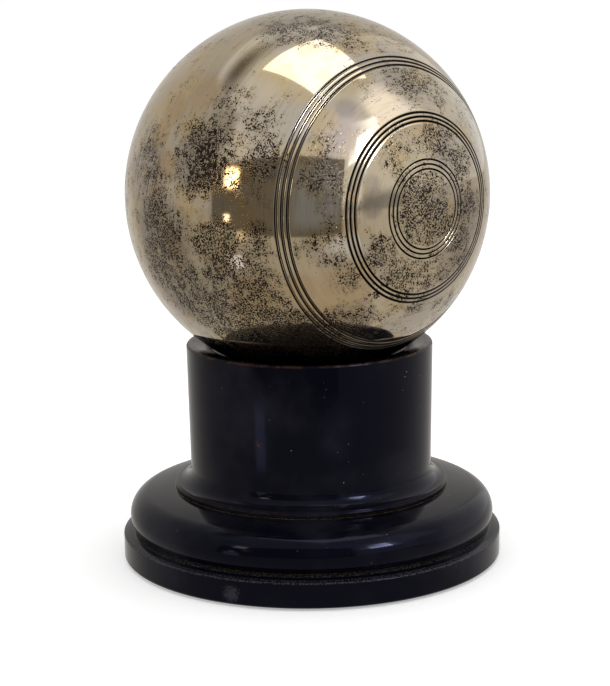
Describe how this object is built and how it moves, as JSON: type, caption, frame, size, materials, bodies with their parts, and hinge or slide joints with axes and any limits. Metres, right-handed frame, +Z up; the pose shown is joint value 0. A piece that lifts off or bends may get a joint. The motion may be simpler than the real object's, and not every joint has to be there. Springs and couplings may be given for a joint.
{
  "type": "boule on stand",
  "caption": "Metal boule with engraved concentric rings on two faces, resting loose in the hollowed top of a turned black wooden stand with a bull-nose base.",
  "frame": {"origin": "centre of the stand's underside, on the surface it stands on", "axes": "+Z up through the middle of stand and boule; the boule's engraved faces look along -Y and +Y"},
  "size_m": [0.0808, 0.0808, 0.1154],
  "materials": {
    "boule_metal": "nickel plated steel, polished and heavily pitted",
    "stand_wood": "turned and ebonised, glossy french polish",
    "screw_steel": "plain steel, dulled",
    "baize": "green wool baize"
  },
  "bodies": {
    "stand": {"stand_drum": "stand_wood", "base_moulding": "stand_wood", "plinth": "stand_wood", "centre_screw": "screw_steel", "felt_pad": "baize"},
    "boule": {"half_shell_front": "boule_metal", "half_shell_back": "boule_metal", "weld_ring": "boule_metal"}
  },
  "joints": [
    {"name": "boule_lift", "type": "slide", "parent": "stand", "child": "boule", "axis": [0, 0, 1], "range_m": [0, 0.05]}
  ]
}
